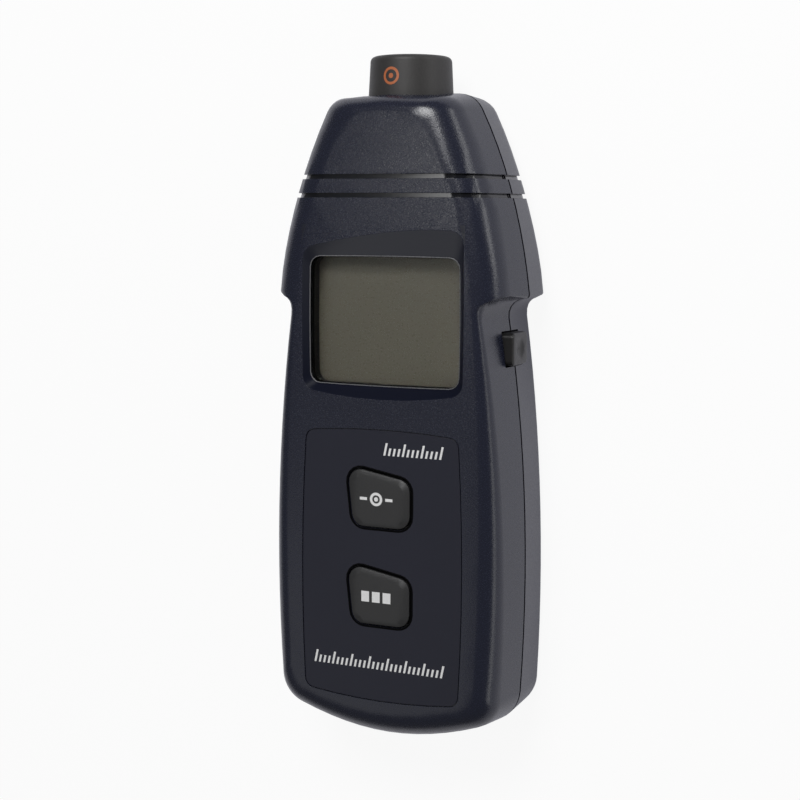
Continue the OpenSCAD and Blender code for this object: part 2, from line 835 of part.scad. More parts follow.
module rear_shell() {
    lip = mirrored(outline_half(wall / 2 + glue_gap));
    color([0.2, 0.205, 0.245])
    difference() {
        union() {
            difference() {
                union() {
                    rear_skin(0, 0);
                    slab(lip, parting_height - 2 * small_cut, parting_height + lip_height);
                }
                rear_skin(wall, lip_height + 2 * small_cut);
            }
            for (p = case_boss_places)
                rod([p[0], p[1], wall - overlap], parting_height - wall + overlap, boss_diameter);
            translate([0, 0, small_cut]) linear_extrude(shelf_height + shelf_thickness - small_cut)
                intersection() {
                    polygon(mirrored(face_half(rear_edges, -shelf_into_edge)));
                    translate([-shelf_half, y_base])
                        square([2 * shelf_half, door_end + shelf_margin - y_base]);
                }
            block(
                [-bay_half - bay_wall, bay_low - bay_wall, shelf_height],
                [bay_half + bay_wall, bay_high + bay_wall, bay_ceiling + bay_roof]
            );
        }
        block([-bay_half, bay_low, -small_cut], [bay_half, bay_high, bay_ceiling]);
        block(
            [-bay_half / 2, bay_high - small_cut, bay_ceiling - lead_way],
            [bay_half / 2, bay_high + bay_wall + small_cut, bay_ceiling + bay_roof + small_cut]
        );
        door_form(door_gap, -small_cut);
        head_grooves(false);
        shared_openings();
        for (p = case_boss_places) {
            rod([p[0], p[1], -small_cut], parting_height + 2 * small_cut, screw_diameter + 2 * thread_gap);
            rod([p[0], p[1], -small_cut], screw_seat + small_cut, counterbore);
        }
    }
}

// Flat sheet with the panel's outline, cut out around both keys
module face_plate() {
    color([0.16, 0.17, 0.2])
    difference() {
        slab(shrunk(panel_outline, panel_gap), panel_floor, panel_floor + panel_sheet);
        for (y = [y_read, y_mem])
            slab(shrunk(key_outline(y), -panel_gap), panel_floor - small_cut, face_height);
    }
}

module display_window() {
    color([0.75, 0.78, 0.75, 0.4]) union() {
        slab(shrunk(window_outline, glue_gap), rim_height, bezel_height - window_sink);
        slab(window_frame(window_rim_width), rim_height, seat_height);
    }
}

module lcd_glass() {
    w = window_width + 2 * cell_margin;
    h = window_height + 2 * cell_margin;
    color([0.45, 0.44, 0.39])
        block([-w / 2, y_window - h / 2, cell_back], [w / 2, y_window + h / 2, cell_height]);
}

// Frame around the display cell, with the window's own opening above the cell
module lcd_frame() {
    w = frame_width;
    h = frame_height;
    at = [0, y_window];
    color([0.08, 0.08, 0.09])
    difference() {
        slab(rectangle(w, h, at), board_top, frame_top);
        slab(
            rectangle(w - 2 * frame_wall, h - 2 * frame_wall, at),
            board_top - small_cut, cell_height + glue_gap
        );
        slab(window_outline, cell_height, frame_top + small_cut);
    }
}

module zebra_strips() {
    w = window_width;
    color([0.75, 0.45, 0.6])
    for (s = [-1, 1])
        translate([-w / 2, y_window + s * window_height / 2 - strip_width / 2, board_top])
            cube([w, strip_width, strip_height]);
}

// Board outline: wide below the display, narrow in the grip, cut back at the trigger button
module main_board() {
    button_bay = button_length + 2 * button_flange + 2 * board_clear;
    board_hole = board_screw_diameter + 2 * thread_gap;
    color([0.1, 0.35, 0.2])
    difference() {
        translate([0, 0, board_back]) linear_extrude(board_thickness)
            difference() {
                union() {
                    translate([-board_grip_width / 2, board_low])
                        square([board_grip_width, board_high - board_low]);
                    translate([-board_width / 2, board_step])
                        square([board_width, board_high - board_step]);
                }
                translate([side_switch_face + board_clear, y_button - button_bay / 2])
                    square([board_width, button_bay]);
            }
        for (p = board_boss_places)
            rod([p[0], p[1], board_back - small_cut], board_thickness + 2 * small_cut, board_hole);
    }
}

module controller_chip() {
    color([0.1, 0.1, 0.1])
        translate([-chip_side / 2, y_window - chip_side / 2, board_top])
            cube([chip_side, chip_side, chip_height]);
}

module crystal() {
    color([0.75, 0.75, 0.75])
        translate([crystal_at[0], crystal_at[1], board_back - crystal_size[2]]) cube(crystal_size);
}

module capacitors() {
    color([0.15, 0.2, 0.4])
    for (p = capacitor_places)
        rod([p[0], p[1], board_back - capacitor_height], capacitor_height, capacitor_diameter);
}

// Tactile switch under a key, bored for its plunger
module key_switch(y) {
    s = switch_side;
    color([0.12, 0.12, 0.13])
    difference() {
        translate([key_shift - s / 2, y - s / 2, board_top]) cube([s, s, switch_height]);
        rod([key_shift, y, switch_top - plunger_sink], plunger_sink + small_cut, plunger_bore);
    }
}

module key_plunger(y) {
    low = switch_top - plunger_sink + key_travel + flat_gap;
    color([0.2, 0.2, 0.2]) rod([key_shift, y, low], plunger_top - low, plunger_diameter);
}

// Key with a chamfered plateau, a flange that keeps it in and a stem down to its plunger
module key(y) {
    cap = shrunk(key_outline(y), key_gap);
    color([0.23, 0.23, 0.23]) union() {
        skin([
            lifted(cap, key_flange_back),
            lifted(cap, face_height + key_proud * key_shoulder_share),
            lifted(shrunk(cap, key_chamfer), face_height + key_proud)
        ]);
        slab(shrunk(cap, -key_gap - key_flange), key_flange_back, key_flange_top);
        rod([key_shift, y, plunger_top], key_flange_back + overlap - plunger_top, stem_diameter);
    }
}

module read_key() key(y_read);
module mem_key() key(y_mem);
module read_switch() key_switch(y_read);
module mem_switch() key_switch(y_mem);
module read_plunger() key_plunger(y_read);
module mem_plunger() key_plunger(y_mem);

// Places a shape that was drawn along +Z so that it leaves the right side at the button
module at_button() {
    translate([0, y_button, parting_height]) rotate([90, 0, 90]) children();
}

// Trigger button with rounded edges, a round dimple and wings that keep it in
module side_button() {
    face = rounded_rectangle(button_length, button_height, [0, 0], button_corner);
    dimple_radius = (pow(dimple_diameter / 2, 2) + pow(dimple_depth, 2)) / (2 * dimple_depth);
    wings = button_length + 2 * button_flange;
    wing_height = button_height - 2 * button_wing_step;
    flange_back = button_flange_face - button_flange_thickness;
    color([0.16, 0.16, 0.165])
    difference() {
        at_button() union() {
            skin(concat(
                [lifted(face, flange_back)],
                [for (k = [0 : steps_button])
                    let (a = 90 * k / steps_button)
                    lifted(
                        shrunk(face, button_edge * (1 - cos(a))),
                        button_reach - button_edge * (1 - sin(a))
                    )]
            ));
            slab(rectangle(wings, wing_height, [0, 0]), flange_back, button_flange_face);
            rod([0, 0, side_plunger_face], flange_back + overlap - side_plunger_face, stem_diameter);
        }
        at_button() translate([0, 0, button_reach - dimple_depth + dimple_radius]) sphere(r = dimple_radius);
    }
}

// Switch on the back of the board, facing the trigger button
module side_switch() {
    s = switch_side;
    color([0.12, 0.12, 0.13])
    difference() {
        block(
            [side_switch_face - switch_height, y_button - s / 2, side_switch_low],
            [side_switch_face, y_button + s / 2, board_back]
        );
        at_button() rod(
            [0, 0, side_switch_face - button_travel - 2 * flat_gap],
            switch_height, plunger_bore
        );
    }
}

module side_plunger() {
    low = side_switch_face - flat_gap;
    color([0.2, 0.2, 0.2]) at_button() rod([0, 0, low], side_plunger_face - low, plunger_diameter);
}

// Nose tube: tapered outside, rounded tip, lens seat inside and a collar behind the head's wall
module nose_tube() {
    tip_radius = nose_radius - nose_taper / 2;
    mouth = mouth_diameter / 2;
    bore = barrel_diameter / 2;
    color([0.2, 0.195, 0.19]) turned_on_nose(concat(
        [
            [bore, nose_back],
            [nose_radius, nose_back],
            [nose_radius, collar_face - nose_collar_thickness],
            [nose_radius + nose_collar, collar_face - nose_collar_thickness],
            [nose_radius + nose_collar, collar_face],
            [nose_radius, collar_face],
            [nose_radius, y_head]
        ],
        [for (k = [0 : steps_tip])
            let (a = 90 * k / steps_tip)
            [tip_radius - nose_round * (1 - cos(a)), y_tip - nose_round * (1 - sin(a))]],
        [
            [mouth, y_tip],
            [mouth, lens_back],
            [bore, lens_back]
        ]
    ));
}

// Lens with a flat back and a crowned front
module front_lens() {
    r = mouth_diameter / 2 - glue_gap;
    color([0.6, 0.2, 0.2, 0.6]) turned_on_nose(concat(
        [[0, lens_back], [r, lens_back]],
        [for (k = [0 : steps_lens])
            let (a = 90 * k / steps_lens)
            [r * cos(a), lens_front + lens_crown * sin(a)]]
    ));
}

module lens_ring() {
    r = mouth_diameter / 2 - glue_gap / 2;
    inner = r - ring_width;
    bed = lens_front + lens_crown * sqrt(1 - pow(inner / r, 2));
    color([0.1, 0.1, 0.1]) turned_on_nose([
        [inner, bed + flat_gap],
        [r, bed + flat_gap],
        [r, bed + flat_gap + ring_thickness],
        [inner, bed + flat_gap + ring_thickness]
    ]);
}

// Plug in the back of the tube, bored for the laser and the sensor
module optics_holder() {
    color([0.1, 0.1, 0.11])
    difference() {
        nose_bar(0, nose_back, holder_front, barrel_diameter - 2 * glue_gap);
        nose_bar(laser_x, nose_back - small_cut, holder_front + small_cut, laser_diameter + 2 * glue_gap);
        nose_bar(sensor_x, nose_back - small_cut, holder_front + small_cut, sensor_diameter + 2 * glue_gap);
    }
}

// Laser barrel with a small exit hole
module laser_module() {
    color([0.72, 0.58, 0.3])
    difference() {
        nose_bar(laser_x, laser_back, laser_end, laser_diameter);
        nose_bar(laser_x, laser_end - laser_exit, laser_end + small_cut, laser_diameter / 2);
    }
}

module photodiode() {
    color([0.15, 0.1, 0.12]) union() {
        nose_bar(sensor_x, nose_back, nose_back + sensor_body, sensor_diameter);
        translate([sensor_x, nose_back + sensor_body, parting_height]) sphere(d = sensor_diameter);
    }
}

// Flat lead from the back of the optics, bent once, to the underside of the board
module sensor_ribbon() {
    t = ribbon_thickness;
    low = parting_height - sensor_diameter / 2;
    color([0.7, 0.5, 0.2])
    translate([sensor_x + ribbon_width / 2, 0, 0]) rotate([90, 0, -90]) linear_extrude(ribbon_width)
        polygon([
            [-nose_back, low],
            [-nose_back + t, low],
            [-nose_back + t, board_back - t],
            [ribbon_foot - board_high, board_back - t],
            [ribbon_foot - board_high, board_back],
            [-nose_back, board_back]
        ]);
}

module battery() {
    low = bay_low + bay_gap;
    color([0.15, 0.15, 0.17])
        slab(
            rounded_rectangle(battery_width, battery_length, [0, low + battery_length / 2], battery_corner),
            bay_floor, bay_floor + battery_height
        );
}

// Snap connector across the battery's upper end
module battery_snap() {
    low = bay_low + bay_gap + battery_length;
    half = battery_width / 2 - snap_inset;
    color([0.08, 0.08, 0.08])
        block(
            [-half, low, bay_floor + 2 * snap_inset],
            [half, low + snap_thickness, bay_floor + battery_height - 2 * snap_inset]
        );
}

// Two leads that climb from the snap to the underside of the board
module battery_leads() {
    start = bay_low + bay_gap + battery_length + snap_thickness;
    climb = bay_high + bay_wall + lead_reach;
    height = bay_ceiling - lead_drop;
    bend = [for (k = [0 : steps_lead]) 90 * k / steps_lead];
    for (s = [-1, 1])
        color(s < 0 ? [0.1, 0.1, 0.1] : [0.7, 0.1, 0.1])
        translate([s * lead_side, 0, 0])
        skin(concat(
            [lead_ring(start, height, 0)],
            [for (a = bend)
                lead_ring(climb - lead_bend * (1 - sin(a)), height + lead_bend * (1 - cos(a)), a)],
            [lead_ring(climb, board_back, 90)]
        ));
}

// Ring of a lead at one place, across a direction that climbs by the angle a
function lead_ring(y, z, a) =
    [for (i = [0 : lead_sides - 1])
        let (t = 360 * i / lead_sides, u = lead_diameter / 2 * cos(t), v = lead_diameter / 2 * sin(t))
        [u, y - v * sin(a), z + v * cos(a)]];

// Self-tapping screws from the back, their heads at the bottom of the counterbores
module case_screws() {
    shank = screw_tip - screw_seat + overlap;
    color([0.6, 0.6, 0.62])
    for (p = case_boss_places)
        difference() {
            union() {
                rod([p[0], p[1], screw_seat - screw_head_height], screw_head_height, screw_head);
                rod([p[0], p[1], screw_seat - overlap], shank, screw_diameter - 2 * glue_gap);
            }
            for (a = [0, 90])
                translate([p[0], p[1], screw_seat - screw_head_height]) rotate(a)
                    cube(screw_slot, center = true);
        }
}

// Screws that hold the board against the front shell's bosses
module board_screws() {
    color([0.6, 0.6, 0.62])
    for (p = board_boss_places) {
        rod([p[0], p[1], board_back - board_screw_head_height], board_screw_head_height, board_screw_head);
        rod(
            [p[0], p[1], board_back - overlap],
            board_thickness + board_screw_length - hole_spare + overlap, board_screw_diameter - 2 * glue_gap
        );
    }
}

// Sliding door in the back: its end follows the housing's rounded end
module battery_door() {
    color([0.2, 0.205, 0.245])
    difference() {
        intersection() {
            rear_skin(0, 0);
            door_form(0, door_skin);
        }
        for (k = [0 : ridge_count - 1])
            block(
                [-ridge_length / 2, ridge_high - k * ridge_pitch - ridge_width, -small_cut],
                [ridge_length / 2, ridge_high - k * ridge_pitch, door_skin + ridge_depth]
            );
    }
}

front_shell();
rear_shell();
face_plate();
display_window();
lcd_glass();
lcd_frame();
zebra_strips();
main_board();
controller_chip();
crystal();
capacitors();
read_switch();
mem_switch();
side_switch();
nose_tube();
front_lens();
lens_ring();
optics_holder();
laser_module();
photodiode();
sensor_ribbon();
battery();
battery_snap();
battery_leads();
case_screws();
board_screws();
battery_door();
read_key();
read_plunger();
mem_key();
mem_plunger();
side_button();
side_plunger();
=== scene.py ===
"""Looks of the laser tachometer: finishes, printed marks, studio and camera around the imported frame."""
import json
import math

import bpy
from mathutils import Matrix, Vector

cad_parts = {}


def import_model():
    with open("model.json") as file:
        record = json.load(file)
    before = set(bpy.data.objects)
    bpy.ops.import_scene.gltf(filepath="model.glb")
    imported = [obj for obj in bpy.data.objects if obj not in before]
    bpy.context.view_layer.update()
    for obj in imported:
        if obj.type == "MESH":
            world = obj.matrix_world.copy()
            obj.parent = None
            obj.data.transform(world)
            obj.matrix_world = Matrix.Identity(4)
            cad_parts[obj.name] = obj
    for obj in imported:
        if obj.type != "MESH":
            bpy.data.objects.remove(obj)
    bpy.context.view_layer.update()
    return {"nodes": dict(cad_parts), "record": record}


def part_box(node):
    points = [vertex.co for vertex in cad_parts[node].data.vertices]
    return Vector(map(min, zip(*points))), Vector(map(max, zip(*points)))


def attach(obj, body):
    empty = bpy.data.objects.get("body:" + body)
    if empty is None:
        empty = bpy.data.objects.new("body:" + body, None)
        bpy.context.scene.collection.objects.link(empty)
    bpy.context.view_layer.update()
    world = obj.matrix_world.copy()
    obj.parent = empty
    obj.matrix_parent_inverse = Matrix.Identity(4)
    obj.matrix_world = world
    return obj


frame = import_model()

MM = 0.001
NODES = frame["nodes"]

# Camera, as the photograph has it: turned to the button side and raised above the middle
CAMERA_YAW = math.radians(25.0)
CAMERA_PITCH = math.radians(6.775)
CAMERA_ROLL = math.radians(-0.249)
CAMERA_TARGET = Vector((-9.224, -2.289, 4.166)) * MM
CAMERA_DISTANCE = 470.53 * MM
CAMERA_LENS = 71.59
CAMERA_SENSOR = 36.0
CAMERA_CLIP = 10 * MM

# Shading of the CAD solids
WELD_DISTANCE = 0.002 * MM
SMOOTH_ANGLE = math.radians(27)
RIM_ANGLE = math.radians(3)
FLAT_WEIGHT = 90
ROUND_EDGE = 0.16 * MM
ROUND_SAMPLES = 4

# Moulded skin: a fine grain, with darker pits, on a slow drift of tone
DRIFT_SIZE = 22 * MM
TONE_DRIFT = 0.12
PIT_SHADE = 0.82
ROUGHNESS_DRIFT = 0.06

# Skin of the two shells
SHELL_GRAIN = 0.36 * MM
SHELL_DRIFT_SIZE = 26 * MM
SHELL_PIT_SHADE = 0.70
SHELL_ROUGHNESS_DRIFT = 0.05
# Painted shade: the share of the navy in the grooves, at the parting line and on the window's walls
PAINTED_SHADE = 0.2

# The smooth scooped bezel: its depths below the face, and its reach around the window
SCOOP_DEPTH = 0.03 * MM
SCOOP_FLOOR = 2 * MM
SCOOP_SIDE = 0.9 * MM
SCOOP_LOW = 6 * MM
SCOOP_HIGH = 7.6 * MM
# Painted shade: the share of the navy on the scooped bezel
SCOOP_PAINTED_SHADE = 0.55
SCOOP_ROUGHNESS = 0.29

# The bezel shines above the window; its specular level falls towards the ramp below it, as painted shade
# there
SCOOP_SPECULAR = 0.62
SHADED_RAMP_SPECULAR = 0.04

# The polished grooves around the head, by their places along the instrument
GROOVE_PLACES = (62.55 * MM, 57.45 * MM)
GROOVE_HALF = 0.63 * MM
GROOVE_ROUGHNESS = 0.14

# Places of painted shade: the heights of the parting line's edges, and the walls of the window's opening
SEAM_LOW = 17.00 * MM
SEAM_HIGH = 17.85 * MM
WALL_INSET = 0.7 * MM
WALL_DROP = 0.1 * MM

# Metal
TOOL_MARK = 0.4 * MM
TOOL_DEPTH = 0.01 * MM
METAL_DARK = 0.85
METAL_LIGHT = 1.1
METAL_ROUGHNESS_DRIFT = 0.08

# Clear cover, display and lens, each with the range of its roughness
COVER_HAZE = 6 * MM
COVER_ROUGHNESS = (0.03, 0.07)
COVER_IOR = 1.2
CELL_GRAIN = 0.5 * MM
# Painted light and shade: the display is lighter at its lower edge and darker at its upper one
CELL_LOWER_PAINTED_LIGHT = 1.06
CELL_UPPER_PAINTED_SHADE = 0.94
CELL_PIT_SHADE = 0.96
CELL_ROUGHNESS = (0.26, 0.34)
LENS_STREAK = 5 * MM
LENS_ROUGHNESS = (0.02, 0.06)
LENS_TRANSMISSION = 0.85

# Board and battery
MASK_SIZE = 3 * MM
MASK_ROUGHNESS = (0.25, 0.35)
TRACK_PITCH = 6 * MM
TRACK_SHARE = 0.03
TRACK_DEPTH = 0.03 * MM
JACKET_BAND = 14 * MM
JACKET_BLEND = 0.2 * MM
JACKET_EDGE = 0.5 * MM
JACKET_ROUGHNESS = (0.28, 0.42)
SCUFF_SIZE = 3 * MM
SCUFF_STRETCH = (1.0, 6.0, 1.0)
SCUFF_DEPTH = 0.02 * MM
SCUFF_STRENGTH = (0.0, 0.15)

# Colours, in linear light
WHITE = (1.0, 1.0, 1.0)
NAVY = (0.012, 0.0142, 0.029)
PANEL_NAVY = (0.010, 0.011, 0.023)
KEY_GREY = (0.028, 0.028, 0.029)
BUTTON_GREY = (0.020, 0.0195, 0.0195)
NOSE_GREY = (0.034, 0.0325, 0.032)
# Painted highlight: the light grey of the lip around the window
LIP_HIGHLIGHT_GREY = (0.170, 0.170, 0.180)
BLACK = (0.005, 0.005, 0.006)
# Painted shade: the black of the rings around the keys and of the band inside the cover's edges
SHADE_BLACK = (0.0025, 0.0025, 0.003)
CELL_OLIVE = (0.145, 0.131, 0.104)
CLEAR = (0.93, 0.94, 0.92)
LENS_RED = (0.45, 0.03, 0.03)
CONTACT_PINK = (0.30, 0.12, 0.18)
SLEEVE_BLUE = (0.012, 0.02, 0.10)
EPOXY_DARK = (0.02, 0.006, 0.01)
FILM_AMBER = (0.32, 0.13, 0.02)
WIRE_RED = (0.20, 0.012, 0.012)
PLATED_GREY = (0.55, 0.55, 0.57)
BRASS = (0.62, 0.42, 0.14)
BOARD_DARK = (0.006, 0.045, 0.020)
BOARD_LIGHT = (0.010, 0.070, 0.030)
TRACK_GREEN = (0.020, 0.110, 0.045)
JACKET_DARK = (0.012, 0.012, 0.015)
JACKET_COPPER = (0.42, 0.17, 0.05)
SCUFF_GREY = (0.3, 0.3, 0.3)
PRINT_WHITE = (0.80, 0.80, 0.80)
PRINT_ORANGE = (0.42, 0.12, 0.04)

# Small added pieces
LIP_RADIUS = 0.14 * MM
LIP_OUT = 0.14 * MM
LIP_RISE = 0.15 * MM
LIP_STEPS = 6
# Rings of painted shade around the keys' openings
SHADE_RING_OUT = 0.42 * MM
SHADE_RING_IN = 0.18 * MM
SHADE_RING_REACH = 15 * MM
# A band of painted shade just inside the clear cover's edges
EDGE_INSET = 0.05 * MM
EDGE_DROP = 0.04 * MM

# Printed marks
PRINT_THICKNESS = 0.03 * MM
INK_GRAIN = 0.25 * MM
INK_DARK = 0.88
INK_LIGHT = 1.08
INK_ROUGHNESS = (0.45, 0.60)
RING_STEPS = 40
KEY_MARK_SHIFT = -0.6 * MM
TARGET_RADIUS = 1.9 * MM
TARGET_WIDTH = 0.75 * MM
TARGET_DOT = 0.62 * MM
DASH_OFFSET = 3.9 * MM
DASH_HALF = (1.1 * MM, 0.4 * MM)
CELL_PITCH = 3.3 * MM
CELL_HALF = (1.2 * MM, 1.5 * MM)
TICK_WIDTH = 0.62 * MM
TICK_HEIGHT = 3.5 * MM
TICK_SLANT = math.radians(12)
TICKS_PER_MAJOR = 4
MINOR_SHARE = 0.6
NOSE_MARK_RADIUS = 2.4 * MM
NOSE_MARK_WIDTH = 0.7 * MM
NOSE_MARK_DOT = 0.7 * MM
NOSE_MARK_X = -0.8 * MM
NOSE_MARK_Y = 89.9 * MM

# Digits, in metres, to which points of a solid count as one
POINT_DIGITS = 6
RIM_DIGITS = 5

# Scales on the panel: left end, right end, base line and number of ticks
SCALES = {
    "upper_scale": (0.8 * MM, 18.2 * MM, -13.75 * MM, 13),
    "lower_scale": (-20.8 * MM, 18.9 * MM, -74.6 * MM, 29),
}

# Studio
FLOOR_SIZE = 8.0
FLOOR_DROP = 0.05 * MM
FLOOR_PAPER = (0.85, 0.85, 0.85)
FLOOR_WHITE = 0.92
FLOOR_MIRRORED = 0.38
MIRROR_TINT = (0.94, 0.93, 1.06)
WORLD_STRENGTH = 0.16

# Soft lights: place, aim, and length and width, in metres, then power in watts
LIGHTS = {
    "side_strip": ((0.64, 0.36, 0.12), (0.02, 0.05, 0.02), (0.54, 0.15), 1.05),
    "side_low": ((0.62, -0.18, 0.12), (0.02, -0.05, 0.02), (0.50, 0.15), 0.45),
    "key_box": ((0.03, 0.45, 0.62), (0.02, 0.0, 0.02), (0.30, 0.30), 3.8),
    "low_card": ((-0.40, -0.38, 0.72), (0.0, 0.03, 0.03), (0.45, 0.45), 0.36),
    "front_card": ((-0.305, 0.115, 0.885), (0.005, 0.062, 0.036), (0.14, 0.10), 0.28),
}


# Boxes of the CAD nodes

def top_of(node):
    """Height of a node's top."""
    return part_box(node)[1].z


def middle_of(node):
    """Middle of a node's box, seen from the front."""
    low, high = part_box(node)
    return (low.x + high.x) / 2, (low.y + high.y) / 2


# Node helpers

def new_material(name):
    """An empty node material and its principled shader."""
    material = bpy.data.materials.new(name)
    material.use_nodes = True
    tree = material.node_tree
    tree.nodes.clear()
    out = tree.nodes.new("ShaderNodeOutputMaterial")
    shader = tree.nodes.new("ShaderNodeBsdfPrincipled")
    tree.links.new(shader.outputs[0], out.inputs["Surface"])
    return material, tree, shader


def set_socket(tree, socket, value):
    """Sets an input to a value, or links it where a socket is given."""
    if isinstance(value, bpy.types.NodeSocket):
        tree.links.new(value, socket)
    else:
        socket.default_value = value


def fill(tree, node, **inputs):
    """Sets or links a node's inputs by their names."""
    for key, value in inputs.items():
        set_socket(tree, node.inputs[key.replace("_", " ")], value)


def add(tree, kind, **inputs):
    """A node with its inputs set or linked."""
    made = tree.nodes.new(kind)
    fill(tree, made, **inputs)
    return made


def math_node(tree, operation, first, second):
    """The result of one operation on sockets or numbers."""
    made = tree.nodes.new("ShaderNodeMath")
    made.operation = operation
    set_socket(tree, made.inputs[0], first)
    set_socket(tree, made.inputs[1], second)
    return made.outputs[0]


def between(tree, value, low, high):
    """1 where value is between low and high."""
    over = math_node(tree, "GREATER_THAN", value, low)
    under = math_node(tree, "LESS_THAN", value, high)
    return math_node(tree, "MULTIPLY", over, under)


def all_of(tree, first, second, third):
    """1 where three masks are all 1."""
    return math_node(tree, "MULTIPLY", first, math_node(tree, "MULTIPLY", second, third))


def place(tree):
    """Object coordinates, in metres in the part's own frame."""
    return tree.nodes.new("ShaderNodeTexCoord").outputs["Object"]


def separate_place(tree):
    """A node that gives the object coordinates one by one."""
    return add(tree, "ShaderNodeSeparateXYZ", Vector=place(tree))


def noise(tree, size, detail=2.0, stretch=None):
    """Noise whose features are about size across, from 0 to 1."""
    vector = place(tree)
    if stretch:
        vector = add(tree, "ShaderNodeMapping", Vector=vector, Scale=stretch).outputs[0]
    return add(tree, "ShaderNodeTexNoise", Vector=vector, Scale=1.0 / size, Detail=detail).outputs[0]


def opaque(colour):
    """A colour with full alpha."""
    return (*colour, 1.0)


def shade(colour, amount):
    """A colour made darker or lighter by a factor."""
    return tuple(channel * amount for channel in colour)


# A mix node's inputs 6 and 7 and output 2 are its colours, inputs 2 and 3 and output 0 its numbers

def blend_colours(tree, factor, low, high):
    """A colour between low and high, each a socket or a plain colour."""
    mixed = tree.nodes.new("ShaderNodeMix")
    mixed.data_type = "RGBA"
    tree.links.new(factor, mixed.inputs[0])
    for socket, colour in ((mixed.inputs[6], low), (mixed.inputs[7], high)):
        set_socket(tree, socket, colour if isinstance(colour, bpy.types.NodeSocket) else opaque(colour))
    return mixed.outputs[2]


def blend_numbers(tree, factor, low, high):
    """A number between low and high, each a socket or a plain number."""
    mixed = tree.nodes.new("ShaderNodeMix")
    mixed.data_type = "FLOAT"
    tree.links.new(factor, mixed.inputs[0])
    set_socket(tree, mixed.inputs[2], low)
    set_socket(tree, mixed.inputs[3], high)
    return mixed.outputs[0]


def spread(tree, factor, low, high, from_low=0.3, from_high=0.7):
    """A number between low and high, as factor goes through its range."""
    made = add(
        tree, "ShaderNodeMapRange", Value=factor,
        From_Min=from_low, From_Max=from_high, To_Min=low, To_Max=high)
    return made.outputs[0]


def rounded_normal(tree, radius=ROUND_EDGE):
    """Normals that round the solid's sharp edges by radius."""
    made = add(tree, "ShaderNodeBevel", Radius=radius)
    made.samples = ROUND_SAMPLES
    return made.outputs[0]


def bump(tree, height, depth, radius=ROUND_EDGE):
    """Normals of a relief of some depth, on edges rounded by radius."""
    normal = rounded_normal(tree, radius)
    made = add(tree, "ShaderNodeBump", Height=height, Distance=depth, Strength=1.0, Normal=normal)
    return made.outputs[0]


# Where the shells are smooth, polished or dark

def scoop_reach():
    """The ranges across and along the instrument that hold the scooped bezel."""
    low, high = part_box("display_window")
    return (low.x - SCOOP_SIDE, high.x + SCOOP_SIDE), (low.y - SCOOP_LOW, high.y + SCOOP_HIGH)


def scoop_mask(tree, spot):
    """1 on the scooped bezel, which is a little below the face around the window."""
    face = top_of("front_shell")
    across, along = scoop_reach()
    return all_of(
        tree,
        between(tree, spot.outputs["Z"], face - SCOOP_FLOOR, face - SCOOP_DEPTH),
        between(tree, spot.outputs["X"], *across),
        between(tree, spot.outputs["Y"], *along))


def groove_mask(tree, spot):
    """1 in the two grooves around the head."""
    first, second = (
        between(tree, spot.outputs["Y"], y - GROOVE_HALF, y + GROOVE_HALF) for y in GROOVE_PLACES)
    return math_node(tree, "ADD", first, second)


def window_wall_mask(tree, spot):
    """1 on the walls of the window's opening, below the clear cover, where shade is painted."""
    low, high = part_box("display_window")
    return all_of(
        tree,
        math_node(tree, "LESS_THAN", spot.outputs["Z"], high.z - WALL_DROP),
        between(tree, spot.outputs["X"], low.x + WALL_INSET, high.x - WALL_INSET),
        between(tree, spot.outputs["Y"], low.y + WALL_INSET, high.y - WALL_INSET))


def front_painted_shade(tree, spot):
    """1 on the front shell's places of painted shade: the window's walls and the edge at the parting line.
    """
    seam = math_node(tree, "LESS_THAN", spot.outputs["Z"], SEAM_HIGH)
    return math_node(tree, "MAXIMUM", seam, window_wall_mask(tree, spot))


def rear_painted_shade(tree, spot):
    """1 on the rear shell's lip and edge at the parting line, where shade is painted."""
    return math_node(tree, "GREATER_THAN", spot.outputs["Z"], SEAM_LOW)


# Finishes

def shell_plastic(name, roughness, depth, specular, shade_mask):
    """A shell's plastic: grained skin with a smooth bezel and polished grooves, with painted shade on the
    bezel, in the grooves and at the masked places.
    """
    material, tree, shader = new_material(name)
    spot = separate_place(tree)
    groove = groove_mask(tree, spot)
    scooped = scoop_mask(tree, spot)
    # Painted shade at the parting line and on the window's walls
    dark = shade_mask(tree, spot)
    painted_dark = math_node(tree, "MAXIMUM", groove, dark)
    textured = math_node(tree, "SUBTRACT", 1.0, math_node(tree, "MAXIMUM", groove, scooped))

    fine = noise(tree, SHELL_GRAIN, detail=2.5)
    slow = noise(tree, SHELL_DRIFT_SIZE)
    tone = blend_colours(tree, slow, shade(NAVY, 1 - TONE_DRIFT), shade(NAVY, 1 + TONE_DRIFT))
    pits = spread(tree, fine, 0.0, 1.0)
    speckled = blend_colours(tree, pits, shade(NAVY, SHELL_PIT_SHADE), tone)
    skin = blend_colours(tree, textured, tone, speckled)
    # Painted shade: the scooped bezel is darker than the navy
    skin = blend_colours(tree, scooped, skin, shade(NAVY, SCOOP_PAINTED_SHADE))
    # Painted shade in the grooves and at the masked places
    skin = blend_colours(tree, painted_dark, skin, shade(NAVY, PAINTED_SHADE))

    # Painted shade: the bezel's specular level falls from the window's upper edge to its lower one
    low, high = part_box("display_window")
    ramp = spread(tree, spot.outputs["Y"], SHADED_RAMP_SPECULAR, SCOOP_SPECULAR, low.y, high.y)
    gloss = blend_numbers(tree, scooped, specular, ramp)
    # No reflection where shade is painted at the masked places
    shine = blend_numbers(tree, dark, gloss, 0.0)

    satin = spread(tree, fine, roughness - SHELL_ROUGHNESS_DRIFT, roughness + SHELL_ROUGHNESS_DRIFT)
    satin = blend_numbers(tree, groove, satin, GROOVE_ROUGHNESS)
    satin = blend_numbers(tree, scooped, satin, SCOOP_ROUGHNESS)

    relief = bump(tree, math_node(tree, "MULTIPLY", fine, textured), depth)
    fill(tree, shader, Base_Color=skin, Specular_IOR_Level=shine, Roughness=satin, Normal=relief)
    return material


